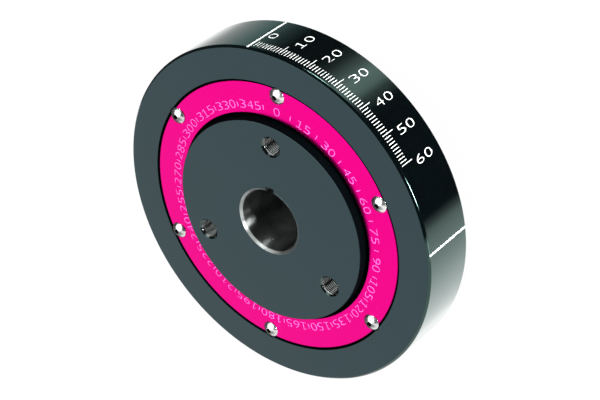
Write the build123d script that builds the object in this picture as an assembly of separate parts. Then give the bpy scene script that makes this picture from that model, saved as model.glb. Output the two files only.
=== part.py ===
"""Harmonic balancer for a small-block engine's crankshaft, in millimetres.

The axis is Z, with the engine below and the pulley side on top. The origin is the centre of the
hub nose's end face, which the part stands on. The keyway is at +Y, in line with the first pulley hole.
"""

from build123d import *
import math
import os

# Hub, turned from one steel bar
hub_length = 60.3
hub_bore_diameter = 31.6
hub_bore_chamfer = 1.1
nose_diameter = 44.45
nose_chamfer = 1.5
nose_root_fillet = 3.0
boss_diameter = 102.4
boss_edge_chamfer = 0.3
boss_rise = 3.6  # hub face above the inertia ring's front face
flange_overlap = 2.9  # how far the flange reaches out under the retaining plate

# Keyway, broached from end to end of the bore
keyway_width = 4.76
keyway_depth = 2.9  # below the bore's wall
keyway_angle = 90.0

# Tapped holes for the pulley
pulley_hole_count = 3
pulley_hole_circle = 81.4
pulley_hole_diameter = 9.525
pulley_hole_depth = 19.0
pulley_hole_chamfer = 0.5
drill_point_angle = 118.0
first_pulley_hole_angle = 90.0

# Inertia ring
ring_diameter = 171.45
ring_width = 30.2
ring_edge_chamfer = 1.05
rear_lip_thickness = 4.0
rear_lip_overlap = 4.2  # how far the lip reaches in over the hub's flange

# Elastomer between the hub's flange and the ring's bore
elastomer_thickness = 4.0
elastomer_set_back = 1.0  # from each end of the flange

# Retaining plate in the front of the ring
plate_thickness = 3.2
plate_seat_width = 8.5  # ledge of the ring that the plate lies on
plate_edge_chamfer = 0.25
plate_below_face = 0.45  # plate's face below the ring's face
plate_recess_clearance = 1.0  # between the plate's rim and the recess wall
plate_boss_clearance = 1.9  # between the plate's hole and the hub's boss
flange_end_clearance = 0.3  # hub's flange to the plate and to the rear lip

# Button-head screws that hold the plate
screw_count = 6
screw_inset = 3.05  # from the plate's rim to the screws' centres
first_screw_angle = 90.0
screw_thread_diameter = 4.17
screw_length = 12.7  # under the head
screw_tip_chamfer = 0.5
screw_head_diameter = 8.0
screw_head_height = 2.2
screw_head_rim = 0.35
screw_socket_across_flats = 2.4
screw_socket_depth = 1.4
screw_hole_clearance = 0.25  # round the thread, in the plate
screw_thread_clearance = 0.05  # round the thread, in the ring
screw_end_room = 2.0  # tapped hole left below the screw's tip
screw_head_clearance = 0.5  # round the head, in the recess wall

# Timing marks cut in the ring's rim, counted clockwise from the zero line as seen from the front
mark_depth = 0.15
zero_line_angle = 101.5
quarter_line_turn = 90.0  # from the zero line to the quarter line
line_width = 1.1
tick_count = 60
first_tick_turn = 1.42  # from the zero line
tick_pitch_turn = 1.018
tick_width = 0.45
tick_set_back = 2.6  # from the ring's front face
short_tick_length = 4.4
long_tick_length = 7.4
long_tick_every = 10

# Diameters that follow, from the boss outwards
plate_hole_diameter = boss_diameter + 2 * plate_boss_clearance
flange_diameter = plate_hole_diameter + 2 * flange_overlap
lip_diameter = flange_diameter - 2 * rear_lip_overlap
ring_bore_diameter = flange_diameter + 2 * elastomer_thickness
plate_outer_diameter = ring_bore_diameter + 2 * plate_seat_width
plate_recess_diameter = plate_outer_diameter + 2 * plate_recess_clearance
screw_circle = plate_outer_diameter - 2 * screw_inset

# Heights that follow, from the hub's face down
ring_front = hub_length - boss_rise
ring_rear = ring_front - ring_width
plate_front = ring_front - plate_below_face
plate_rear = plate_front - plate_thickness
lip_front = ring_rear + rear_lip_thickness
flange_front = plate_rear - flange_end_clearance
flange_rear = lip_front + flange_end_clearance

cut_margin = 1.0  # how far a cutter runs past the face that it cuts


def turned(points):
    """The solid that a half-section of (radius, height) points makes about Z."""
    outline = Polyline([(radius, 0, height) for radius, height in points], close=True)
    return revolve(make_face(outline), Axis.Z)


def around(shape, angle):
    """A copy of a shape that is drawn at +X, turned about Z to an angle."""
    return Rot(0, 0, angle) * shape


def drill(radius, top, bottom):
    """A round cutter on Z from bottom to top, with a drill's point below."""
    point = radius / math.tan(math.radians(drill_point_angle / 2))
    return turned([(0, top), (radius, top), (radius, bottom), (0, bottom - point)])


def chamfer_cutter(radius, chamfer, face):
    """A cone that chamfers a hole's mouth in a face that looks up."""
    reach = chamfer + cut_margin
    return turned([(0, face + cut_margin), (radius + reach, face + cut_margin), (radius, face - chamfer),
                   (0, face - chamfer)])


def make_hub():
    bore = hub_bore_diameter / 2
    nose = nose_diameter / 2
    boss = boss_diameter / 2
    flange = flange_diameter / 2
    body = turned([
        (bore, hub_bore_chamfer),
        (bore + hub_bore_chamfer, 0),
        (nose - nose_chamfer, 0),
        (nose, nose_chamfer),
        (nose, flange_rear),
        (flange, flange_rear),
        (flange, flange_front),
        (boss, flange_front),
        (boss, hub_length - boss_edge_chamfer),
        (boss - boss_edge_chamfer, hub_length),
        (bore + hub_bore_chamfer, hub_length),
        (bore, hub_length - hub_bore_chamfer),
    ])
    root = [edge for edge in body.edges().filter_by(GeomType.CIRCLE)
            if abs(edge.center().Z - flange_rear) < 1e-6 and abs(edge.radius - nose) < 1e-6]
    body = fillet(root, nose_root_fillet)
    body -= around(keyway_cutter(), keyway_angle)
    for index in range(pulley_hole_count):
        angle = first_pulley_hole_angle + 360 / pulley_hole_count * index
        body -= around(pulley_hole_cutter(), angle)
    return body


def keyway_cutter():
    """A broach at +X that cuts one keyway through the whole hub."""
    reach = hub_bore_diameter / 2 + keyway_depth
    length = hub_length + 2 * cut_margin
    align = (Align.MIN, Align.CENTER, Align.MIN)
    return Pos(0, 0, -cut_margin) * Box(reach, keyway_width, length, align=align)


def pulley_hole_cutter():
    """One tapped hole at +X, at the thread's outer diameter."""
    radius = pulley_hole_diameter / 2
    hole = drill(radius, hub_length + cut_margin, hub_length - pulley_hole_depth)
    hole += chamfer_cutter(radius, pulley_hole_chamfer, hub_length)
    return Pos(pulley_hole_circle / 2, 0, 0) * hole


def make_inertia_ring():
    outer = ring_diameter / 2
    bore = ring_bore_diameter / 2
    lip = lip_diameter / 2
    recess = plate_recess_diameter / 2
    body = turned([
        (lip, ring_rear),
        (outer - ring_edge_chamfer, ring_rear),
        (outer, ring_rear + ring_edge_chamfer),
        (outer, ring_front - ring_edge_chamfer),
        (outer - ring_edge_chamfer, ring_front),
        (recess, ring_front),
        (recess, plate_rear),
        (bore, plate_rear),
        (bore, lip_front),
        (lip, lip_front),
    ])
    for index in range(screw_count):
        body -= around(screw_seat_cutter(), screw_angle(index))
    return body - timing_marks()


def screw_angle(index):
    return first_screw_angle + 360 / screw_count * index


def screw_seat_cutter():
    """The tapped hole for one screw at +X, with the notch in the recess wall beside its head."""
    hole = drill(screw_thread_diameter / 2 + screw_thread_clearance, plate_rear + cut_margin,
                 plate_front - screw_length - screw_end_room)
    head_room = Pos(0, 0, plate_rear) * Cylinder(screw_head_diameter / 2 + screw_head_clearance,
                                                 ring_front - plate_rear + cut_margin,
                                                 align=(Align.CENTER, Align.CENTER, Align.MIN))
    return Pos(screw_circle / 2, 0, 0) * (hole + head_room)


def timing_marks():
    """Cutters for the zero line, the quarter line and the ticks between them."""
    line = rim_groove_cutter(line_width, ring_front + cut_margin, ring_width + 2 * cut_margin)
    marks = [around(line, zero_line_angle), around(line, zero_line_angle - quarter_line_turn)]
    for number in range(1, tick_count + 1):
        length = short_tick_length if number % long_tick_every else long_tick_length
        tick = rim_groove_cutter(tick_width, ring_front - tick_set_back, length)
        turn = first_tick_turn + tick_pitch_turn * (number - 1)
        marks.append(around(tick, zero_line_angle - turn))
    return marks


def rim_groove_cutter(width, front, length):
    """A groove at +X in the rim, that runs back from its front end."""
    return Pos(ring_diameter / 2 - mark_depth, 0, front) * Box(
        mark_depth + cut_margin, width, length, align=(Align.MIN, Align.CENTER, Align.MAX))


def make_elastomer_ring():
    inner = flange_diameter / 2
    outer = ring_bore_diameter / 2
    top = flange_front - elastomer_set_back
    bottom = flange_rear + elastomer_set_back
    return turned([(inner, bottom), (outer, bottom), (outer, top), (inner, top)])


def make_retaining_plate():
    inner = plate_hole_diameter / 2
    outer = plate_outer_diameter / 2
    body = turned([
        (inner, plate_rear),
        (outer, plate_rear),
        (outer, plate_front - plate_edge_chamfer),
        (outer - plate_edge_chamfer, plate_front),
        (inner + plate_edge_chamfer, plate_front),
        (inner, plate_front - plate_edge_chamfer),
    ])
    hole = Cylinder(screw_thread_diameter / 2 + screw_hole_clearance, plate_thickness + 2 * cut_margin)
    hole = Pos(screw_circle / 2, 0, (plate_front + plate_rear) / 2) * hole
    for index in range(screw_count):
        body -= around(hole, screw_angle(index))
    return body


def make_screw():
    """A button-head screw on Z, with the underside of its head at height 0."""
    head = screw_head_diameter / 2
    thread = screw_thread_diameter / 2
    crown = screw_head_height - screw_head_rim
    dome_radius = (head**2 + crown**2) / (2 * crown)
    halfway = math.asin(head / dome_radius) / 2
    shoulder = (dome_radius * math.sin(halfway), 0, screw_head_height - dome_radius * (1 - math.cos(halfway)))
    dome = ThreePointArc((head, 0, screw_head_rim), shoulder, (0, 0, screw_head_height))
    rest = Polyline([
        (0, 0, screw_head_height),
        (0, 0, -screw_length),
        (thread - screw_tip_chamfer, 0, -screw_length),
        (thread, 0, -screw_length + screw_tip_chamfer),
        (thread, 0, 0),
        (head, 0, 0),
        (head, 0, screw_head_rim),
    ])
    body = revolve(make_face(dome + rest), Axis.Z)
    socket = RegularPolygon(screw_socket_across_flats / 2, 6, major_radius=False)
    return body - Pos(0, 0, screw_head_height - screw_socket_depth) * extrude(socket, screw_head_height)


def make_parts():
    """Each piece's node name and solid, in its place."""
    parts = {
        "hub": make_hub(),
        "elastomer_ring": make_elastomer_ring(),
        "inertia_ring": make_inertia_ring(),
        "retaining_plate": make_retaining_plate(),
    }
    screw = Pos(screw_circle / 2, 0, plate_front) * make_screw()
    for index in range(screw_count):
        parts[f"retainer_screw_{index + 1}"] = around(screw, screw_angle(index))
    return parts


os.makedirs("parts", exist_ok=True)
for node, solid in make_parts().items():
    export_step(solid, f"parts/{node}.step")
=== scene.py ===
import math

import bmesh
import bpy
from bpy.props import FloatProperty, FloatVectorProperty, IntProperty, PointerProperty
from bpy.types import Operator, Panel, PropertyGroup
from mathutils import Matrix, Vector


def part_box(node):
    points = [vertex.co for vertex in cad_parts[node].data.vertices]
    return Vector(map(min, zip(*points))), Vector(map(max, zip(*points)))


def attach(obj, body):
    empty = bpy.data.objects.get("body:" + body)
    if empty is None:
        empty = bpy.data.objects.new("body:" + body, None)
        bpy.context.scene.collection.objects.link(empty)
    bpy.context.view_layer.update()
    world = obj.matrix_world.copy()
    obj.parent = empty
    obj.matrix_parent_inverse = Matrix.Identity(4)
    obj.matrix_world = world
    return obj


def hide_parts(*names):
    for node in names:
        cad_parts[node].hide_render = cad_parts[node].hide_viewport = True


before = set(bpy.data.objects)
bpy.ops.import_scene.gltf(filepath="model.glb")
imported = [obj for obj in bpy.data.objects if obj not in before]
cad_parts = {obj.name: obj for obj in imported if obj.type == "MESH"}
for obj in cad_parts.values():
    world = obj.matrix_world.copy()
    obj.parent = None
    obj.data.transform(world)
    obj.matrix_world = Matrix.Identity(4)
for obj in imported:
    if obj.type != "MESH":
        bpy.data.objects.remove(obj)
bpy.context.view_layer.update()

bl_info = {
    "name": "Harmonic Balancer",
    "version": (1, 0, 0),
    "blender": (4, 5, 0),
    "location": "View3D > Sidebar > Balancer",
    "description": "Builds the pieces, the finishes and the studio of a crankshaft's harmonic balancer",
    "category": "Add Mesh",
}

MM = 0.001

# Places and sizes that the frame gives, in metres
HUB_BACK, HUB_FACE = (corner.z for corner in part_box("hub"))
FLANGE_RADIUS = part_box("hub")[1].x
RING_REAR, RING_FRONT = (corner.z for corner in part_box("inertia_ring"))
RING_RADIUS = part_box("inertia_ring")[1].x
RUBBER_REAR, RUBBER_FRONT = (corner.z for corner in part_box("elastomer_ring"))
RING_BORE_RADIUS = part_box("elastomer_ring")[1].x
PLATE_REAR, PLATE_FRONT = (corner.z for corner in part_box("retaining_plate"))
PLATE_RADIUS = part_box("retaining_plate")[1].x
SCREW_NODES = sorted(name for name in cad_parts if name.startswith("retainer_screw"))

# Fineness of the meshes
SEGMENTS = 360
SCREW_SEGMENTS = 64
ARC_STEPS = 5
DOME_STEPS = 14
HOLD = 0.04 * MM  # from a rounded corner to the extra edge that keeps the flat beside it flat
CUT_MARGIN = 1 * MM  # how far a cutter runs past the face that it cuts
THREAD_ROWS = 10  # for each turn of a thread
THREAD_COLUMNS = 40
DISC_STEPS = 48
SHARP_ANGLE = math.radians(28)
FONT_CURVE_STEPS = 4
SAME_POINT = 1e-7  # metres between points that are one
SAME_DIGIT_POINT = 1e-5  # the same in a digit, of the font's own size
RIM_TOLERANCE = 0.02 * MM  # within which a face belongs to the rim
LEVEL_TOLERANCE = 0.01  # how far the normal of such a face may tip up or down

# A tapped hole's thread, as shares of its pitch, and the drill point below it, as a share of its radius
THREAD_DEPTH = 0.54
THREAD_CREST = 0.25
THREAD_FLANKS = 0.625
DRILL_POINT = 0.6

KEYWAY_START = 0.7  # of the bore's radius, where the keyway's cutter starts
EDGE_FINENESS = 3  # how many times finer the hub's other edges are rounded than the boss's
FACE_COAT_SHARE = 0.3  # of the boss's rounded edge, down from its face, that has the face's coat

# Between which values a noise pattern mostly lies
NOISE_RANGE = (0.3, 0.7)

# The studio's brightness round the object, at bearings in degrees from +X, with a tint where it has one
WHITE = (1.0, 1.0, 1.0)
GREEN_TINT = (0.68, 1.0, 0.97)
TABLE_LEVELS = (
    (0, 0.01), (60, 0.01), (68, 0.04), (76, 0.4), (81, 1.1), (89, 1.3), (97, 0.6), (105, 0.15), (114, 0.02),
    (137, 0.02), (150, 0.18, GREEN_TINT), (164, 0.5, GREEN_TINT), (190, 0.75), (205, 1.25), (213, 1.25),
    (222, 0.97), (238, 0.97), (247, 1.25), (262, 1.95), (290, 1.98), (304, 1.9), (320, 1.5), (337, 1.15),
    (343, 0.85), (347, 0.35), (352, 0.01),
)
BOARD_LEVELS = (
    (0, 0.02), (60, 0.02), (76, 0.5), (81, 1.6), (94, 1.6), (104, 0.1), (115, 0.03), (250, 0.1), (265, 1.0),
    (342, 1.0), (346, 0.02),
)
ROOM_LEVELS = (
    (0, 0.02), (206, 0.02), (217, 0.97), (243, 0.97), (254, 0.2), (290, 0.3), (310, 1.0), (342, 1.0),
    (346, 0.02),
)

# Heights at which those three meet, as the upward part of a direction: table, then boards, then room
BOARD_FOOT = (-0.4, -0.3)
BOARD_TOP = (0.4, 0.5)

# Round lights in that studio: bearing, elevation, radius and feather in degrees, and brightness
SOFT_BOX = (140, 70, 30, 6, 2.5)
LOW_LAMPS = ((17, 7, 4, 6, 150.0), (97, 9, 6, 3, 36.0), (345, 10, 5, 3, 16.0))

FLOOR_WHITENESS = 0.94  # how far the camera sees the floor as plain white, apart from the object's shadow
SHADE_DISC_DROP = 1 * MM  # from the floor down to the black disc of painted shade
SENSOR_WIDTH = 36  # of the camera, in millimetres
NEAR_LIMIT, FAR_LIMIT = 0.01, 50  # of what the camera sees, in metres


# ---------------------------------------------------------------- sizes and colours that a user sets

def length(label, millimetres, description):
    return FloatProperty(name=label, description=description, default=millimetres * MM, min=0.0,
                         unit="LENGTH", precision=5)


def turn(label, degrees, description):
    return FloatProperty(name=label, description=description, default=math.radians(degrees), subtype="ANGLE")


def colour(label, rgb, description):
    return FloatVectorProperty(name=label, description=description, default=rgb, size=3, min=0.0, max=1.0,
                               subtype="COLOR")


def count(label, number, description):
    return IntProperty(name=label, description=description, default=number, min=1)


def weight(value):
    return FloatProperty(name="Weight", description="Thickens the digits' strokes, or thins them below zero",
                         default=value, min=-0.03, max=0.03, precision=4)


class HubSizes(PropertyGroup):
    bore: length("Bore", 31.6, "Diameter of the crank bore")
    bore_chamfer: length("Bore Chamfer", 1.1, "Chamfer at both ends of the bore")
    nose: length("Nose", 44.45, "Diameter of the nose that runs in the oil seal")
    nose_chamfer: length("Nose Chamfer", 1.5, "Chamfer round the nose's end")
    nose_root: length("Nose Root", 3.0, "Fillet between the nose and the flange")
    boss: length("Boss", 102.4, "Diameter of the raised front boss")
    edge: length("Edge", 0.3, "Rounding of the boss's front edge and of the flange's edges")
    flange_set_out: length("Flange Set Out", 1.0, "How far the flange runs past the rubber at each end")
    keyway_width: length("Keyway Width", 4.76, "Width of the keyway")
    keyway_depth: length("Keyway Depth", 2.9, "Depth of the keyway below the bore's wall")
    keyway_angle: turn("Keyway", 90, "Place of the keyway and of the first pulley hole")
    hole_circle: length("Hole Circle", 81.4, "Diameter of the circle of pulley holes")
    hole: length("Pulley Hole", 9.525, "Outer diameter of the pulley holes' thread")
    hole_depth: length("Hole Depth", 19.0, "Depth of the pulley holes")
    hole_chamfer: length("Hole Chamfer", 0.5, "Chamfer at the pulley holes' mouths")
    thread_pitch: length("Thread Pitch", 1.058, "Pitch of the pulley holes' thread")
    hole_count: count("Pulley Holes", 3, "How many pulley holes there are")


class RingSizes(PropertyGroup):
    edge_chamfer: length("Edge Chamfer", 1.05, "Chamfer at both ends of the rim")
    edge_softness: length("Edge Softness", 0.15, "Rounding of the ring's other edges")
    corner_softness: length("Corner Softness", 0.6, "Rounding between the rim and its front chamfer")
    recess: length("Recess", 139.0, "Diameter of the recess that the plate lies in")
    lip_thickness: length("Lip Thickness", 4.0, "Thickness of the rear lip")
    lip_overlap: length("Lip Overlap", 4.2, "How far the rear lip reaches in over the hub's flange")


class MarkSizes(PropertyGroup):
    depth: length("Mark Depth", 0.15, "Depth of the engraved marks")
    zero_angle: turn("Zero Line", 101.5, "Place of the zero line")
    quarter_turn: turn("Quarter Line", 90, "From the zero line to the quarter line")
    line_width: length("Line Width", 1.1, "Width of the zero line and the quarter line")
    tick_width: length("Tick Width", 0.36, "Width of a tick's paint")
    first_tick: turn("First Tick", 1.42, "From the zero line to the first tick")
    tick_pitch: turn("Tick Pitch", 1.018, "From one tick to the next")
    tick_set_back: length("Tick Set Back", 2.6, "From the ring's face to the ticks")
    short_tick: length("Short Tick", 4.4, "Length of a short tick")
    long_tick: length("Long Tick", 7.4, "Length of every tenth tick")
    number_set_back: length("Number Set Back", 14.6, "From the ring's face to the middle of the first digit")
    digit_pitch: length("Digit Pitch", 6.5, "From one digit to the next")
    digit_width: length("Digit Width", 4.85, "Width of a digit, along the rim's width")
    digit_height: length("Digit Height", 4.1, "Height of a digit, round the rim")
    weight: weight(-0.019)
    first_number: turn("First Number", 2.6, "From the zero line to the middle of the figure 0")
    number_pitch: turn("Number Pitch", 10.03, "From one number to the next")
    tick_count: count("Ticks", 60, "How many ticks there are")


class PlateSizes(PropertyGroup):
    hole: length("Hole", 106.2, "Diameter of the plate's hole round the boss")
    edge: length("Edge", 0.25, "Rounding of the plate's front edges")
    screw_hole: length("Screw Hole", 4.67, "Diameter of the holes for the screws")
    scale_radius: length("Scale Radius", 57.2, "Radius of the middle of the scale's numbers")
    scale_step: count("Scale Step", 15, "Degrees from one number to the next")
    digit_height: length("Digit Height", 4.0, "Height of the scale's digits")
    digit_width: length("Digit Width", 3.3, "Width of the scale's digits")
    digit_pitch: length("Digit Pitch", 4.3, "From one digit to the next")
    weight: weight(-0.024)
    dash_length: length("Dash Length", 2.4, "Length of the dash between two numbers")
    dash_width: length("Dash Width", 0.35, "Width of the dash between two numbers")
    mark_depth: length("Mark Depth", 0.03, "Depth of the scale's marks")


class ScrewSizes(PropertyGroup):
    head: length("Head", 8.0, "Diameter of a screw's head")
    head_height: length("Head Height", 2.2, "Height of a screw's head")
    head_rim: length("Head Rim", 0.35, "Height of the straight rim under the head's dome")
    thread: length("Thread", 4.17, "Diameter of the screws' thread")
    shank: length("Shank", 12.7, "Length of a screw under its head")
    socket: length("Socket", 2.4, "Width across the flats of a screw's socket")
    socket_depth: length("Socket Depth", 1.4, "Depth of a screw's socket")
    head_room: length("Head Room", 0.5, "Room round each head in the recess wall")
    hole_room: length("Hole Room", 2.0, "Depth left below a screw's tip")
    tip_chamfer: length("Tip Chamfer", 0.5, "Chamfer of a screw's tip")
    rim_softness: length("Rim Softness", 0.1, "Rounding between the head's rim and its dome")
    seat_softness: length("Seat Softness", 0.08, "Rounding of the head's lower edge")


class FinishColours(PropertyGroup):
    coat: colour("Coat", (0.002, 0.005, 0.008), "Satin black coat on the faces")
    gloss: colour("Gloss Coat", (0.0006, 0.0012, 0.0015), "Black on the rim, the walls and the holes' mouths")
    plate: colour("Plate", (1.0, 0.0, 0.29), "Dye of the anodised plate")
    marking: colour("Marking", (0.80, 0.15, 0.62), "Laser marks on the plate")
    paint: colour("Paint", (0.66, 0.68, 0.66), "Paint in the timing marks")
    steel: colour("Steel", (0.46, 0.49, 0.48), "Bare machined steel")
    stainless: colour("Stainless", (0.92, 0.92, 0.91), "Screws")
    rubber: colour("Rubber", (0.015, 0.015, 0.015), "Elastomer between the hub and the ring")
    floor: colour("Floor", (0.90, 0.90, 0.90), "Floor")


class StudioSizes(PropertyGroup):
    lens: length("Lens", 111.05, "Focal length for a 36 mm wide sensor")
    target_x: length("Target X", 14.64, "Point of the ring's face that the camera looks at, along X")
    target_y: length("Target Y", 16.62, "Point of the ring's face that the camera looks at, along Y")
    distance: length("Distance", 832.07, "From the camera to its target")
    azimuth: turn("Azimuth", 50.26, "The camera's place round the axis, from +X")
    elevation: turn("Elevation", 41.73, "The camera's height above the ring's face")
    roll: turn("Roll", -126.72, "The camera's turn about its own line of sight")
    floor_size: length("Floor Size", 3000.0, "Width of the square floor")
    # Radius of the black disc of painted shade below the nose
    cloth_radius: length("Cloth Radius", 22.0, "Radius of the black cloth below the nose")


SETTINGS = {
    "hub": HubSizes,
    "ring": RingSizes,
    "marks": MarkSizes,
    "plate": PlateSizes,
    "screw": ScrewSizes,
    "finish": FinishColours,
    "studio": StudioSizes,
}


def settings(context, part):
    return getattr(context.scene, "balancer_" + part)


# ---------------------------------------------------------------- shader maths

class Term:
    """A shader value or colour that can be used in Python expressions."""

    def __init__(self, recipe, socket):
        self.recipe = recipe
        self.socket = socket

    def maths(self, operation, first, second):
        return self.recipe.node("ShaderNodeMath", {"operation": operation}, {0: first, 1: second})

    def __add__(self, other):
        return self.maths("ADD", self, other)

    def __mul__(self, other):
        return self.maths("MULTIPLY", self, other)

    __radd__ = __add__
    __rmul__ = __mul__


class Recipe:
    """The nodes of one material or of the world."""

    def __init__(self, tree):
        self.tree = tree
        tree.nodes.clear()

    def node(self, kind, setup=None, inputs=None, output=0):
        """Adds a node, sets it up, fills its sockets and gives back one of its outputs."""
        made = self.tree.nodes.new(kind)
        for name, value in (setup or {}).items():
            if name == "stops":
                for index, (place, rgb) in enumerate(value):
                    stops = made.color_ramp.elements
                    stop = stops[index] if index < len(stops) else stops.new(place)
                    stop.position = place
                    stop.color = (*rgb, 1.0)
            else:
                setattr(made, name, value)
        for name, value in (inputs or {}).items():
            if isinstance(value, Term):
                self.tree.links.new(value.socket, made.inputs[name])
            elif hasattr(value, "__len__") and made.inputs[name].type == "RGBA":
                made.inputs[name].default_value = (*value, 1.0)
            else:
                made.inputs[name].default_value = value
        return Term(self, made.outputs[output]) if made.outputs else None

    def place(self):
        """The object's own coordinates, in metres."""
        return self.node("ShaderNodeTexCoord", output="Object")

    def noise(self, scale, detail=2.0):
        """Soft noise in the object's own place, with so many spots a metre."""
        return self.node("ShaderNodeTexNoise",
                         inputs={"Vector": self.place(), "Scale": scale, "Detail": detail})

    def remap(self, value, low, high, to_low=0.0, to_high=1.0):
        """A value from low to high, eased into the range from to_low to to_high and held there."""
        return self.node("ShaderNodeMapRange", {"interpolation_type": "SMOOTHSTEP"},
                         {"Value": value, "From Min": low, "From Max": high, "To Min": to_low,
                          "To Max": to_high})

    def mix(self, factor, first, second):
        """Two colours mixed."""
        return self.node("ShaderNodeMix", {"data_type": "RGBA"}, {0: factor, 6: first, 7: second}, output=2)

    def turning_marks(self, marks_per_metre):
        """Fine rings, as a lathe tool leaves them, on walls and on faces alike."""
        parts = self.node("ShaderNodeSeparateXYZ", inputs={0: self.place()})
        across = self.node("ShaderNodeCombineXYZ", inputs={0: parts, 1: self.part(parts, 1)})
        radius = self.node("ShaderNodeVectorMath", {"operation": "LENGTH"}, {0: across}, output="Value")
        feed = radius + self.part(parts, 2)
        return self.node("ShaderNodeTexNoise", {"noise_dimensions": "1D"},
                         {"W": feed, "Scale": marks_per_metre, "Detail": 3.0, "Roughness": 0.6})

    def part(self, term, output):
        """Another output of the node that a term comes from."""
        return Term(self, term.socket.node.outputs[output])

    def bump(self, height, strength, distance):
        return self.node("ShaderNodeBump", inputs={"Height": height, "Strength": strength,
                                                   "Distance": distance})

    def surface(self, **inputs):
        """Ends a material in one Principled shader. Underscores in the names stand for spaces."""
        filled = {name.replace("_", " "): value for name, value in inputs.items()}
        shader = self.node("ShaderNodeBsdfPrincipled", inputs=filled)
        self.node("ShaderNodeOutputMaterial", inputs={"Surface": shader})


def new_recipe(name):
    material = bpy.data.materials.new(name)
    material.use_nodes = True
    return material, Recipe(material.node_tree)


def scaled(rgb, factor):
    return tuple(part * factor for part in rgb)


def coat_material(name, rgb, sheen, roughness, marks, ior=1.8):
    """Black coat on turned steel, with a lathe's fine rings just showing through, as deep as marks says."""
    material, recipe = new_recipe(name)
    cloud = recipe.noise(scale=60.0)
    rings = recipe.turning_marks(marks_per_metre=9000.0)
    grain = recipe.noise(scale=5000.0)
    recipe.surface(
        Base_Color=recipe.mix(cloud, scaled(rgb, 0.8), scaled(rgb, 1.2)),
        Roughness=recipe.remap(rings * 0.6 + cloud * 0.4, *NOISE_RANGE, roughness * 0.85, roughness * 1.15),
        IOR=ior,
        Specular_Tint=sheen,
        Normal=recipe.bump(rings * 0.8 + grain * 0.2, marks, distance=0.01 * MM),
    )
    return material


def gloss_coat(colours):
    return coat_material("black_gloss_coat", colours.gloss, sheen=(0.55, 1.0, 0.88), roughness=0.06,
                         marks=0.02)


def face_coat(colours):
    return coat_material("black_face_coat", colours.coat, sheen=(0.36, 0.63, 0.665), roughness=0.10,
                         marks=0.04)


def wall_coat(colours):
    """The coat inside recesses: matt, with its reflections tinted down to near black as painted shade."""
    return coat_material("matt_coat_painted_shade", colours.gloss, sheen=(0.1, 0.1, 0.1), roughness=0.75, marks=0.10,
                         ior=1.1)


def steel_material(name, rgb, roughness, marks_per_metre, marks, grooved=0.0):
    """Bare turned or ground metal with tool marks. Grooved metal spreads its reflections along the axis."""
    material, recipe = new_recipe(name)
    rings = recipe.turning_marks(marks_per_metre)
    stain = recipe.noise(scale=140.0, detail=4.0)
    recipe.surface(
        Base_Color=recipe.mix(recipe.remap(stain, 0.35, 0.7), scaled(rgb, 0.8), rgb),
        Metallic=1.0,
        Roughness=recipe.remap(rings * 0.7 + stain * 0.3, *NOISE_RANGE, roughness * 0.75, roughness * 1.25),
        Anisotropic=grooved,
        Anisotropic_Rotation=0.25,
        Normal=recipe.bump(rings, marks, distance=0.1 * MM),
    )
    return material


def anodised_material(name, rgb):
    """Dyed, anodised aluminium: metal seen through a clear coloured layer."""
    material, recipe = new_recipe(name)
    rings = recipe.turning_marks(marks_per_metre=7000.0)
    cloud = recipe.noise(scale=45.0)
    recipe.surface(
        Base_Color=recipe.mix(cloud, scaled(rgb, 0.96), rgb),
        Metallic=1.0,
        Roughness=recipe.remap(rings, *NOISE_RANGE, 0.18, 0.25),
        Normal=recipe.bump(rings, strength=0.12, distance=0.01 * MM),
    )
    return material


def paint_material(name, rgb, roughness):
    """Matt paint or a laser mark, slightly uneven."""
    material, recipe = new_recipe(name)
    mottle = recipe.noise(scale=1500.0, detail=3.0)
    recipe.surface(
        Base_Color=recipe.mix(recipe.remap(mottle, *NOISE_RANGE), scaled(rgb, 0.9), rgb),
        Roughness=recipe.remap(mottle, *NOISE_RANGE, roughness * 0.9, roughness * 1.1),
        Normal=recipe.bump(mottle, strength=0.2, distance=0.02 * MM),
    )
    return material


def rubber_material(name, rgb):
    material, recipe = new_recipe(name)
    grain = recipe.noise(scale=2500.0, detail=4.0)
    recipe.surface(
        Base_Color=recipe.mix(grain, scaled(rgb, 0.7), scaled(rgb, 1.4)),
        Roughness=recipe.remap(grain, *NOISE_RANGE, 0.7, 0.9),
        Normal=recipe.bump(grain, strength=0.4, distance=0.05 * MM),
    )
    return material


# ---------------------------------------------------------------- meshes

def rounded(corners):
    """The points of an outline, from corners of (radius, height, rounding)."""
    points = []
    for index, (radius, height, rounding) in enumerate(corners):
        corner = Vector((radius, height))
        if not rounding:
            points.append(corner)
            continue
        back = (Vector(corners[index - 1][:2]) - corner).normalized()
        ahead = (Vector(corners[(index + 1) % len(corners)][:2]) - corner).normalized()
        half = back.angle(ahead) / 2
        reach = rounding / math.tan(half)
        centre = corner + (back + ahead).normalized() * (rounding / math.sin(half))
        first = corner + back * reach - centre
        last = corner + ahead * reach - centre
        points.append(corner + back * (reach + HOLD))
        points += [centre + rounding * first.slerp(last, step / ARC_STEPS) for step in range(ARC_STEPS + 1)]
        points.append(corner + ahead * (reach + HOLD))
    return points


def turned(name, outline, segments=SEGMENTS, closed=True):
    """A piece whose outline of (radius, height) points is turned about Z.

    An open outline starts and ends on the axis.
    """
    mesh = bmesh.new()
    turns = [2 * math.pi * index / segments for index in range(segments)]
    rings = [[mesh.verts.new((point.x * math.cos(a), point.x * math.sin(a), point.y)) for a in turns]
             for point in outline]
    for lower, upper in zip(rings, rings[1:] + (rings[:1] if closed else [])):
        for index in range(segments):
            mesh.faces.new((lower[index - 1], lower[index], upper[index], upper[index - 1]))
    if not closed:
        bmesh.ops.remove_doubles(mesh, verts=mesh.verts, dist=SAME_POINT)
    return new_piece(name, mesh)


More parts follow.
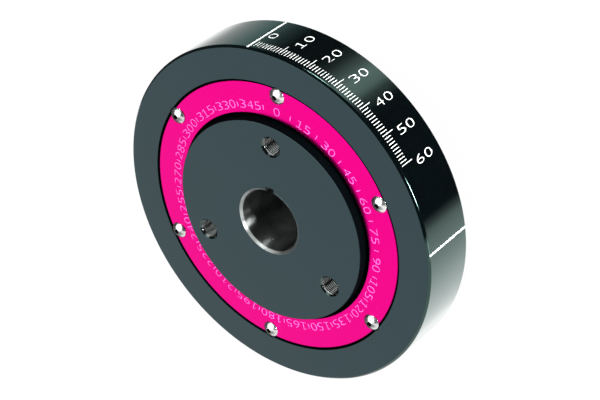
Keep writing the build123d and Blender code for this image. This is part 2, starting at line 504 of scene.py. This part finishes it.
def new_piece(name, mesh):
    """An object from a bmesh. A closed one's faces are turned outwards."""
    mesh.normal_update()
    bmesh.ops.recalc_face_normals(mesh, faces=mesh.faces)
    data = bpy.data.meshes.new(name)
    mesh.to_mesh(data)
    mesh.free()
    piece = bpy.data.objects.new(name, data)
    bpy.context.scene.collection.objects.link(piece)
    return piece


def digit_faces(character, weight):
    """A digit's flat faces in the square from (0, 0) to (1, 1). Weight thickens or thins its strokes."""
    mesh = bmesh.new()
    if character == "1":
        # Drawn with a foot, which the font's 1 lacks. Its strokes follow the weight about as the font's do.
        half, base, flag = 0.13 + 3 * weight, (0.06, 0.96), (0.10, 0.78)
        middle = sum(base) / 2
        stem = (middle - half, middle + half)
        outline = [(base[0], 0), (base[1], 0), (base[1], half), (stem[1], half), (stem[1], 1), (stem[0], 1),
                   (flag[0], flag[1] + half), (flag[0], flag[1]), (stem[0], 1 - half), (stem[0], half),
                   (base[0], half)]
        mesh.faces.new([mesh.verts.new((x, y, 0)) for x, y in outline])
        return mesh
    curve = bpy.data.curves.new("digit", "FONT")
    curve.body = character
    curve.resolution_u = FONT_CURVE_STEPS
    curve.offset = weight
    text = bpy.data.objects.new("digit", curve)
    bpy.context.scene.collection.objects.link(text)
    data = bpy.data.meshes.new_from_object(text.evaluated_get(bpy.context.evaluated_depsgraph_get()))
    mesh.from_mesh(data)
    bpy.data.objects.remove(text)
    bpy.data.curves.remove(curve)
    bpy.data.meshes.remove(data)
    bmesh.ops.remove_doubles(mesh, verts=mesh.verts, dist=SAME_DIGIT_POINT)
    xs = [vertex.co.x for vertex in mesh.verts]
    ys = [vertex.co.y for vertex in mesh.verts]
    for vertex in mesh.verts:
        vertex.co.x = (vertex.co.x - min(xs)) / (max(xs) - min(xs))
        vertex.co.y = (vertex.co.y - min(ys)) / (max(ys) - min(ys))
    return mesh


class Cutter:
    """Solids that are cut from a piece in one go. The cut faces get the cutter's material."""

    def __init__(self, material):
        self.mesh = bmesh.new()
        self.material = material

    def prism(self, outline, height, place):
        """A prism on an outline of (x, y) points, from z 0 to a height, carried to its place."""
        flat = bmesh.new()
        flat.faces.new([flat.verts.new((x, y, 0)) for x, y in outline])
        self.extrude(flat, height, place)

    def box(self, low, high, height, place):
        """A prism on the rectangle between two corners."""
        self.prism([low, (high[0], low[1]), high, (low[0], high[1])], height, place)

    def disc(self, radius, height, place):
        turns = [2 * math.pi * index / DISC_STEPS for index in range(DISC_STEPS)]
        self.prism([(radius * math.cos(a), radius * math.sin(a)) for a in turns], height, place)

    def number(self, text, width, digit_height, pitch, weight, depth, place):
        """Digits side by side along x, with the first one's middle at the origin."""
        for index, character in enumerate(text):
            stretch = Matrix.Diagonal((width, digit_height, 1, 1))
            centre = Matrix.Translation((index * pitch - width / 2, -digit_height / 2, 0))
            self.extrude(digit_faces(character, weight), depth, place @ centre @ stretch)

    def extrude(self, flat, height, place):
        made = bmesh.ops.extrude_face_region(flat, geom=flat.faces[:])
        top = [item for item in made["geom"] if isinstance(item, bmesh.types.BMVert)]
        bmesh.ops.translate(flat, verts=top, vec=(0, 0, height))
        flat.normal_update()
        bmesh.ops.recalc_face_normals(flat, faces=flat.faces)
        flat.transform(place)
        self.take(flat)

    def take(self, other):
        """Adds a bmesh to the cutter."""
        data = bpy.data.meshes.new("cutter")
        other.to_mesh(data)
        other.free()
        self.mesh.from_mesh(data)
        bpy.data.meshes.remove(data)

    def thread(self, sizes, place):
        """A tapped hole from the face at z 0 down, with its chamfer, its thread and its drill point."""
        major = sizes.hole / 2
        minor = major - THREAD_DEPTH * sizes.thread_pitch
        row_height = sizes.thread_pitch / THREAD_ROWS
        rows = round((sizes.hole_depth + CUT_MARGIN) / row_height)
        hole = bmesh.new()
        rings = []
        for row in range(rows + 1):
            below = row * row_height - CUT_MARGIN
            mouth = major + sizes.hole_chamfer - below
            ring = []
            for column in range(THREAD_COLUMNS):
                around = column / THREAD_COLUMNS
                phase = (below / sizes.thread_pitch + around) % 1
                groove = (1 - abs(2 * phase - 1) - THREAD_CREST) / THREAD_FLANKS
                groove = min(1.0, max(0.0, groove))
                radius = max(minor + groove * (major - minor), mouth)
                angle = 2 * math.pi * around
                ring.append(hole.verts.new((radius * math.cos(angle), radius * math.sin(angle), -below)))
            rings.append(ring)
        for upper, lower in zip(rings, rings[1:]):
            for index in range(THREAD_COLUMNS):
                hole.faces.new((upper[index - 1], upper[index], lower[index], lower[index - 1]))
        hole.faces.new(rings[0])
        tip = hole.verts.new((0, 0, -sizes.hole_depth - minor * DRILL_POINT))
        for index in range(THREAD_COLUMNS):
            hole.faces.new((rings[-1][index - 1], rings[-1][index], tip))
        hole.normal_update()
        bmesh.ops.recalc_face_normals(hole, faces=hole.faces)
        hole.transform(place)
        self.take(hole)

    def cut(self, piece):
        data = bpy.data.meshes.new("cutter")
        self.mesh.to_mesh(data)
        self.mesh.free()
        data.materials.append(self.material)
        tool = bpy.data.objects.new("cutter", data)
        bpy.context.scene.collection.objects.link(tool)
        modifier = piece.modifiers.new("cut", "BOOLEAN")
        modifier.operation = "DIFFERENCE"
        modifier.solver = "MANIFOLD"
        modifier.material_mode = "TRANSFER"
        modifier.object = tool
        graph = bpy.context.evaluated_depsgraph_get()
        result = bpy.data.meshes.new_from_object(piece.evaluated_get(graph))
        piece.modifiers.clear()
        before = piece.data
        piece.data = result
        bpy.data.meshes.remove(before)
        bpy.data.objects.remove(tool)
        bpy.data.meshes.remove(data)
        if len(result.polygons) == 0:
            raise RuntimeError(f"the cut left nothing of {piece.name}")


def direction(around, up):
    """A unit vector from an angle round Z, from +X, and an angle above the horizon."""
    return (math.cos(up) * math.cos(around), math.cos(up) * math.sin(around), math.sin(up))


def at_angle(angle, radius, height):
    """A place on the ray at an angle round Z: x points outwards there, and z stays up."""
    return Matrix.Rotation(angle, 4, "Z") @ Matrix.Translation((radius, 0, height))


def on_rim(angle, radius, height):
    """A place on a rim: x points down, y along the rim anticlockwise, and z outwards."""
    axes = Matrix(((0, 0, 1, 0), (0, 1, 0, 0), (-1, 0, 0, 0), (0, 0, 0, 1)))
    return at_angle(angle, radius, height) @ axes


def paint_faces(piece, material, where):
    """Gives a material to the faces whose middle passes a test of (radius, height)."""
    piece.data.materials.append(material)
    slot_index = len(piece.data.materials) - 1
    for face in piece.data.polygons:
        if where(face.center.xy.length, face.center.z):
            face.material_index = slot_index


def smooth(piece):
    """Rounds the shading inside each turned surface and keeps the edges between them."""
    piece.data.shade_smooth()
    piece.data.set_sharp_from_angle(angle=SHARP_ANGLE)


def true_rim(piece, radius):
    """Sets the shading of a rim at a radius as that of an exact cylinder."""
    mesh = piece.data
    normals = [Vector(corner.vector) for corner in mesh.corner_normals]
    for face in mesh.polygons:
        if abs(face.center.xy.length - radius) < RIM_TOLERANCE and abs(face.normal.z) < LEVEL_TOLERANCE:
            for loop in face.loop_indices:
                point = mesh.vertices[mesh.loops[loop].vertex_index].co
                normals[loop] = Vector((point.x, point.y, 0)).normalized()
    mesh.normals_split_custom_set(normals)


def install(piece, slot, *nodes):
    """Puts a finished piece into the frame in the place of its CAD nodes."""
    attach(piece, "root")
    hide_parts(*nodes)


# ---------------------------------------------------------------- operators, one for each piece

class BALANCER_OT_hub(Operator):
    """Builds the hub, with its bore, keyway, tapped holes and seal nose"""

    bl_idname = "balancer.hub"
    bl_label = "Build Hub"

    def execute(self, context):
        sizes = settings(context, "hub")
        colours = settings(context, "finish")
        coat, gloss, matt = face_coat(colours), gloss_coat(colours), wall_coat(colours)
        steel = steel_material("machined_steel", colours.steel, roughness=0.34, marks_per_metre=3000.0,
                               marks=0.5, grooved=0.8)
        # Bore steel: honed, and darkened to 0.37 of the bare steel as painted shade inside the bore.
        honed_shaded = steel_material("bore_steel_painted_shade", scaled(colours.steel, 0.37), roughness=0.34,
                               marks_per_metre=3000.0, marks=0.3, grooved=1.0)
        # Thread steel: bare steel darkened to 0.42 as painted shade inside the holes.
        tapped = steel_material("thread_steel_painted_shade", scaled(colours.steel, 0.42), roughness=0.13,
                                marks_per_metre=3000.0, marks=0.1)
        bore, nose, boss = sizes.bore / 2, sizes.nose / 2, sizes.boss / 2
        chamfer, nose_chamfer, edge = sizes.bore_chamfer, sizes.nose_chamfer, sizes.edge
        soft = edge / EDGE_FINENESS
        rear, front = RUBBER_REAR - sizes.flange_set_out, RUBBER_FRONT + sizes.flange_set_out
        hub = turned("hub_turning", rounded([
            (bore, HUB_BACK + chamfer, soft),
            (bore + chamfer, HUB_BACK, soft),
            (nose - nose_chamfer, HUB_BACK, soft),
            (nose, HUB_BACK + nose_chamfer, soft),
            (nose, rear, sizes.nose_root),
            (FLANGE_RADIUS, rear, edge),
            (FLANGE_RADIUS, front, edge),
            (boss, front, 0),
            (boss, HUB_FACE, edge),
            (bore + chamfer, HUB_FACE, soft),
            (bore, HUB_FACE - chamfer, soft),
        ]))
        hub.data.materials.append(coat)
        shoulder = HUB_FACE - edge * FACE_COAT_SHARE
        # The boss's sides and the flange get the matt coat, whose darkened reflections are painted shade.
        paint_faces(hub, matt, lambda radius, height: height < shoulder)
        paint_faces(hub, steel, lambda radius, height: radius < bore + chamfer + soft or height < rear - soft)
        paint_faces(hub, honed_shaded, lambda radius, height: radius < bore + soft / 2)
        # The keyway's walls get the bore's steel, darkened as painted shade.
        keyway = Cutter(honed_shaded)
        half_width = sizes.keyway_width / 2
        keyway.box((bore * KEYWAY_START, -half_width), (bore + sizes.keyway_depth, half_width),
                   HUB_FACE - HUB_BACK + 2 * CUT_MARGIN,
                   at_angle(sizes.keyway_angle, 0, HUB_BACK - CUT_MARGIN))
        keyway.cut(hub)
        # The threads get the steel that is darkened as painted shade.
        threads = Cutter(tapped)
        for index in range(sizes.hole_count):
            angle = sizes.keyway_angle + 2 * math.pi / sizes.hole_count * index
            threads.thread(sizes, at_angle(angle, sizes.hole_circle / 2, HUB_FACE))
        threads.cut(hub)
        mouth = HUB_FACE - sizes.hole_chamfer
        paint_faces(hub, gloss, lambda radius, height: (
            nose < radius < boss - edge and mouth < height < HUB_FACE - HOLD))
        smooth(hub)
        install(hub, "hub_steel", "hub")
        return {"FINISHED"}


class BALANCER_OT_ring(Operator):
    """Builds the inertia ring, with the recess for the plate and the timing marks in its rim"""

    bl_idname = "balancer.ring"
    bl_label = "Build Inertia Ring"

    def execute(self, context):
        sizes = settings(context, "ring")
        colours = settings(context, "finish")
        screw = settings(context, "screw")
        marks = settings(context, "marks")
        coat, satin, matt = gloss_coat(colours), face_coat(colours), wall_coat(colours)
        chamfer, soft, recess = sizes.edge_chamfer, sizes.edge_softness, sizes.recess / 2
        lip_front = RING_REAR + sizes.lip_thickness
        lip = FLANGE_RADIUS - sizes.lip_overlap
        # The rim is divided beside the digits, because they don't cut cleanly from one long strip
        beside_digits = [RING_FRONT - marks.number_set_back + marks.digit_pitch * step
                         for step in (-1.5, -0.5, 0.5)]
        ring = turned("inertia_ring_turning", rounded([
            (lip, RING_REAR, soft),
            (RING_RADIUS - chamfer, RING_REAR, soft),
            (RING_RADIUS, RING_REAR + chamfer, soft),
            *[(RING_RADIUS, height, 0) for height in beside_digits],
            (RING_RADIUS, RING_FRONT - chamfer, sizes.corner_softness),
            (RING_RADIUS - chamfer, RING_FRONT, soft),
            (recess, RING_FRONT, soft),
            (recess, PLATE_REAR, 0),
            (RING_BORE_RADIUS, PLATE_REAR, 0),
            (RING_BORE_RADIUS, lip_front, 0),
            (lip, lip_front, soft),
        ]))
        ring.data.materials.append(coat)
        paint_faces(ring, satin, lambda radius, height: radius < RING_RADIUS - chamfer)
        # The recess, the ring's bore and the screws' seats take the matt coat, whose darkened reflections are
        # painted shade.
        paint_faces(ring, matt, lambda radius, height: radius < recess + soft / 2 and lip_front < height)
        seats = Cutter(matt)
        holes = Cutter(coat)
        depth = screw.shank + screw.hole_room
        for node in SCREW_NODES:
            centre = screw_centre(node)
            seat = Matrix.Translation((centre.x, centre.y, PLATE_REAR))
            seats.disc(screw.head / 2 + screw.head_room, RING_FRONT - PLATE_REAR + CUT_MARGIN, seat)
            hole = Matrix.Translation((centre.x, centre.y, PLATE_FRONT - depth))
            holes.disc(screw.thread / 2, depth, hole)
        seats.cut(ring)
        holes.cut(ring)
        grooves = Cutter(paint_material("white_paint", colours.paint, roughness=0.5))
        self.engrave(grooves, marks)
        grooves.cut(ring)
        smooth(ring)
        true_rim(ring, RING_RADIUS)
        install(ring, "ring_steel", "inertia_ring")
        return {"FINISHED"}

    def engrave(self, cutter, marks):
        """The zero line, the quarter line, the ticks and the numbers, clockwise from the zero line."""
        floor = RING_RADIUS - marks.depth
        for back in (0, marks.quarter_turn):
            cutter.box((-CUT_MARGIN, -marks.line_width / 2),
                       (RING_FRONT - RING_REAR + CUT_MARGIN, marks.line_width / 2),
                       marks.depth + CUT_MARGIN, on_rim(marks.zero_angle - back, floor, RING_FRONT))
        for tick in range(marks.tick_count):
            reach = marks.short_tick if (tick + 1) % 10 else marks.long_tick
            angle = marks.zero_angle - marks.first_tick - marks.tick_pitch * tick
            cutter.box((marks.tick_set_back, -marks.tick_width / 2),
                       (marks.tick_set_back + reach, marks.tick_width / 2),
                       marks.depth + CUT_MARGIN, on_rim(angle, floor, RING_FRONT))
        for ten in range(marks.tick_count // 10 + 1):
            angle = marks.zero_angle - marks.first_number - marks.number_pitch * ten
            cutter.number(str(10 * ten), marks.digit_width, marks.digit_height, marks.digit_pitch,
                          marks.weight, marks.depth + CUT_MARGIN,
                          on_rim(angle, floor, RING_FRONT - marks.number_set_back))


class BALANCER_OT_plate(Operator):
    """Builds the retaining plate, with a plain degree scale marked on it"""

    bl_idname = "balancer.plate"
    bl_label = "Build Retaining Plate"

    def execute(self, context):
        sizes = settings(context, "plate")
        colours = settings(context, "finish")
        hole, edge = sizes.hole / 2, sizes.edge
        plate = turned("retaining_plate_turning", rounded([
            (hole, PLATE_REAR, 0),
            (PLATE_RADIUS, PLATE_REAR, 0),
            (PLATE_RADIUS, PLATE_FRONT, edge),
            (hole, PLATE_FRONT, edge),
        ]))
        dye = anodised_material("magenta_anodising", colours.plate)
        plate.data.materials.append(dye)
        holes = Cutter(dye)
        for node in SCREW_NODES:
            centre = screw_centre(node)
            below = Matrix.Translation((centre.x, centre.y, PLATE_REAR - CUT_MARGIN))
            holes.disc(sizes.screw_hole / 2, PLATE_FRONT - PLATE_REAR + 2 * CUT_MARGIN, below)
        holes.cut(plate)
        scale = Cutter(paint_material("laser_mark", colours.marking, roughness=0.45))
        self.mark_scale(scale, sizes)
        scale.cut(plate)
        smooth(plate)
        install(plate, "plate_magenta", "retaining_plate")
        return {"FINISHED"}

    def mark_scale(self, cutter, sizes):
        """Numbers of degrees round the plate, clockwise, with a dash between two numbers."""
        depth = sizes.mark_depth + CUT_MARGIN
        floor = PLATE_FRONT - sizes.mark_depth
        for degrees in range(0, 360, sizes.scale_step):
            text = str(degrees)
            angle = math.radians(90 - degrees)
            upright = at_angle(angle, sizes.scale_radius, floor) @ Matrix.Rotation(math.radians(-90), 4, "Z")
            start = Matrix.Translation((-sizes.digit_pitch * (len(text) - 1) / 2, 0, 0))
            cutter.number(text, sizes.digit_width, sizes.digit_height, sizes.digit_pitch, sizes.weight, depth,
                          upright @ start)
            between = at_angle(angle - math.radians(sizes.scale_step / 2), sizes.scale_radius, floor)
            cutter.box((-sizes.dash_length / 2, -sizes.dash_width / 2),
                       (sizes.dash_length / 2, sizes.dash_width / 2), depth, between)


class BALANCER_OT_screws(Operator):
    """Builds the button-head screws that hold the retaining plate"""

    bl_idname = "balancer.screws"
    bl_label = "Build Screws"

    def execute(self, context):
        sizes = settings(context, "screw")
        colours = settings(context, "finish")
        steel = steel_material("stainless_steel", colours.stainless, roughness=0.24, marks_per_metre=9000.0,
                               marks=0.05)
        # The socket's walls: stainless darkened to 0.08 as painted shade inside the socket.
        shade = steel_material("socket_painted_shade", scaled(colours.stainless, 0.08), roughness=0.5,
                               marks_per_metre=9000.0, marks=0.05)
        for index, node in enumerate(SCREW_NODES):
            screw = self.build(sizes, steel, shade, f"screw_{index + 1}")
            centre = screw_centre(node)
            angle = math.atan2(centre.y, centre.x)
            screw.data.transform(Matrix.Translation((centre.x, centre.y, PLATE_FRONT))
                                 @ Matrix.Rotation(angle, 4, "Z"))
            install(screw, "screw_steel", node)
        return {"FINISHED"}

    def build(self, sizes, steel, shade, name):
        """One screw on the Z axis, with the underside of its head at height 0."""
        head, shank, tip = sizes.head / 2, sizes.thread / 2, sizes.tip_chamfer
        crown = sizes.head_height - sizes.head_rim
        dome = (head ** 2 + crown ** 2) / (2 * crown)
        sweep = math.asin(head / dome)
        corners = [(dome * math.sin(sweep * step / DOME_STEPS),
                    sizes.head_height - dome * (1 - math.cos(sweep * step / DOME_STEPS)), 0)
                   for step in range(DOME_STEPS)]
        corners += [(head, sizes.head_rim, sizes.rim_softness), (head, 0, sizes.seat_softness), (shank, 0, 0),
                    (shank, tip - sizes.shank, 0), (shank - tip, -sizes.shank, 0), (0, -sizes.shank, 0)]
        screw = turned(name, rounded(corners), SCREW_SEGMENTS, closed=False)
        screw.data.materials.append(steel)
        socket = Cutter(shade)
        corner = sizes.socket / 2 / math.cos(math.radians(30))
        turns = [math.radians(60 * side) for side in range(6)]
        socket.prism([(corner * math.cos(a), corner * math.sin(a)) for a in turns], sizes.head_height,
                     Matrix.Translation((0, 0, sizes.head_height - sizes.socket_depth)))
        socket.cut(screw)
        smooth(screw)
        return screw


def screw_centre(node):
    """The middle of a screw, in the plane of the plate."""
    low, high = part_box(node)
    return (low + high).xy / 2


class BALANCER_OT_elastomer(Operator):
    """Gives the bonded elastomer ring its rubber"""

    bl_idname = "balancer.elastomer"
    bl_label = "Finish Elastomer Ring"

    def execute(self, context):
        rubber = rubber_material("moulded_rubber", settings(context, "finish").rubber)
        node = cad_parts["elastomer_ring"]
        for slot in node.material_slots:
            slot.material = rubber
        return {"FINISHED"}


class BALANCER_OT_stage(Operator):
    """Sets up the floor, the light and the camera"""

    bl_idname = "balancer.stage"
    bl_label = "Set Up Studio"

    def execute(self, context):
        studio = settings(context, "studio")
        self.lay_floor(studio, settings(context, "finish").floor)
        self.lay_cloth(studio)
        self.light_world(context.scene)
        self.hang_lamp("top_lamp", towards=(0.25, 0.75, 0.6), strength=2.2, softness=12)
        self.hang_lamp("front_lamp", towards=(0.3, -0.4, 0.86), strength=1.0, softness=20)
        self.place_camera(context.scene, studio)
        context.scene.view_settings.view_transform = "Standard"
        return {"FINISHED"}

    def lay_floor(self, studio, rgb):
        mesh = bmesh.new()
        bmesh.ops.create_grid(mesh, x_segments=1, y_segments=1, size=studio.floor_size / 2)
        floor = new_piece("floor", mesh)
        material, recipe = new_recipe("floor_paper")
        seen = recipe.node("ShaderNodeLightPath", output="Is Camera Ray")
        lit = recipe.node("ShaderNodeBsdfDiffuse", inputs={"Color": rgb})
        white = recipe.node("ShaderNodeEmission", inputs={"Color": WHITE, "Strength": 1.0})
        shown = recipe.node("ShaderNodeMixShader", inputs={0: seen * FLOOR_WHITENESS, 1: lit, 2: white})
        recipe.node("ShaderNodeOutputMaterial", inputs={"Surface": shown})
        floor.data.materials.append(material)
        floor.visible_glossy = False

    def lay_cloth(self, studio):
        """A black disc below the floor, which only reflections see. It is painted shade that keeps the bore
        dark.
        """
        mesh = bmesh.new()
        bmesh.ops.create_circle(mesh, cap_ends=True, segments=DISC_STEPS, radius=studio.cloth_radius)
        bmesh.ops.translate(mesh, verts=mesh.verts, vec=(0, 0, -SHADE_DISC_DROP))
        cloth = new_piece("cloth", mesh)
        material, recipe = new_recipe("painted_shade_black")
        recipe.surface(Base_Color=(0.0, 0.0, 0.0), Roughness=1.0, Specular_IOR_Level=0.0)
        cloth.data.materials.append(material)

    def light_world(self, scene):
        """Pale boards and dark gaps round the table, a soft box overhead and three lamps low down."""
        world = bpy.data.worlds.new("studio")
        world.use_nodes = True
        scene.world = world
        recipe = Recipe(world.node_tree)
        ray = recipe.node("ShaderNodeTexCoord", output="Generated")
        parts = recipe.node("ShaderNodeSeparateXYZ", inputs={0: ray})
        around = recipe.node("ShaderNodeMath", {"operation": "ARCTAN2"},
                             {0: recipe.part(parts, 1), 1: parts})
        full = math.radians(360)
        bearing = recipe.node("ShaderNodeMath", {"operation": "FRACT"}, {0: around * (1 / full) + 1.0})
        table, boards, room = (
            recipe.node("ShaderNodeValToRGB", {"stops": self.ramp_stops(levels)}, {0: bearing})
            for levels in (TABLE_LEVELS, BOARD_LEVELS, ROOM_LEVELS))
        height = recipe.part(parts, 2)
        surround = recipe.mix(recipe.remap(height, *BOARD_FOOT), table, boards)
        surround = recipe.mix(recipe.remap(height, *BOARD_TOP), surround, room)
        for *angles, level in (SOFT_BOX, *LOW_LAMPS):
            lamp_bearing, elevation, radius, feather = (math.radians(angle) for angle in angles)
            towards = recipe.node("ShaderNodeVectorMath", {"operation": "DOT_PRODUCT"},
                                  {0: ray, 1: direction(lamp_bearing, elevation)}, output="Value")
            disc = recipe.remap(towards, math.cos(radius + feather), math.cos(radius))
            surround = recipe.mix(disc, surround, scaled(WHITE, level))
        light = recipe.node("ShaderNodeBackground", inputs={"Color": surround, "Strength": 1.0})
        white = recipe.node("ShaderNodeBackground", inputs={"Color": WHITE, "Strength": 1.0})
        seen = recipe.node("ShaderNodeLightPath", output="Is Camera Ray")
        shown = recipe.node("ShaderNodeMixShader", inputs={0: seen, 1: light, 2: white})
        recipe.node("ShaderNodeOutputWorld", inputs={"Surface": shown})

    def ramp_stops(self, levels):
        """Ramp stops from brightnesses at bearings, with a tint or without."""
        return [(degrees / 360, scaled(tint[0] if tint else WHITE, level))
                for degrees, level, *tint in levels]

    def hang_lamp(self, name, towards, strength, softness):
        """A sun, softness degrees across, that lights matt surfaces. Gloss shows the boards instead."""
        lamp = bpy.data.lights.new(name, "SUN")
        lamp.energy = strength
        lamp.angle = math.radians(softness)
        holder = bpy.data.objects.new(name, lamp)
        holder.rotation_euler = Vector(towards).to_track_quat("Z", "Y").to_euler()
        holder.visible_glossy = False
        bpy.context.scene.collection.objects.link(holder)

    def place_camera(self, scene, studio):
        camera = bpy.data.cameras.new("camera")
        camera.sensor_width = SENSOR_WIDTH
        camera.lens = studio.lens / MM
        camera.clip_start = NEAR_LIMIT
        camera.clip_end = FAR_LIMIT
        holder = bpy.data.objects.new("camera", camera)
        back = Vector(direction(studio.azimuth, studio.elevation))
        right = Vector((-math.sin(studio.azimuth), math.cos(studio.azimuth), 0))
        turn_to = Matrix((right, back.cross(right), back)).transposed() @ Matrix.Rotation(studio.roll, 3, "Z")
        target = Vector((studio.target_x, studio.target_y, RING_FRONT))
        holder.matrix_world = Matrix.Translation(target + back * studio.distance) @ turn_to.to_4x4()
        scene.collection.objects.link(holder)
        scene.camera = holder


OPERATORS = (BALANCER_OT_hub, BALANCER_OT_ring, BALANCER_OT_plate, BALANCER_OT_screws, BALANCER_OT_elastomer,
             BALANCER_OT_stage)


class BALANCER_PT_panel(Panel):
    """Lists the balancer's operators and its sizes"""

    bl_idname = "BALANCER_PT_panel"
    bl_label = "Harmonic Balancer"
    bl_space_type = "VIEW_3D"
    bl_region_type = "UI"
    bl_category = "Balancer"

    def draw(self, context):
        for operator in OPERATORS:
            self.layout.operator(operator.bl_idname)
        for part in SETTINGS:
            box = self.layout.box()
            box.label(text=part.capitalize())
            group = settings(context, part)
            for name in group.__annotations__:
                box.prop(group, name)


CLASSES = (*SETTINGS.values(), *OPERATORS, BALANCER_PT_panel)


def register():
    for cls in CLASSES:
        bpy.utils.register_class(cls)
    for part, group in SETTINGS.items():
        setattr(bpy.types.Scene, "balancer_" + part, PointerProperty(type=group))


def unregister():
    for part in SETTINGS:
        delattr(bpy.types.Scene, "balancer_" + part)
    for cls in reversed(CLASSES):
        bpy.utils.unregister_class(cls)


def main():
    register()
    bpy.ops.balancer.hub()
    bpy.ops.balancer.ring()
    bpy.ops.balancer.plate()
    bpy.ops.balancer.screws()
    bpy.ops.balancer.elastomer()
    bpy.ops.balancer.stage()


if __name__ == "__main__":
    main()
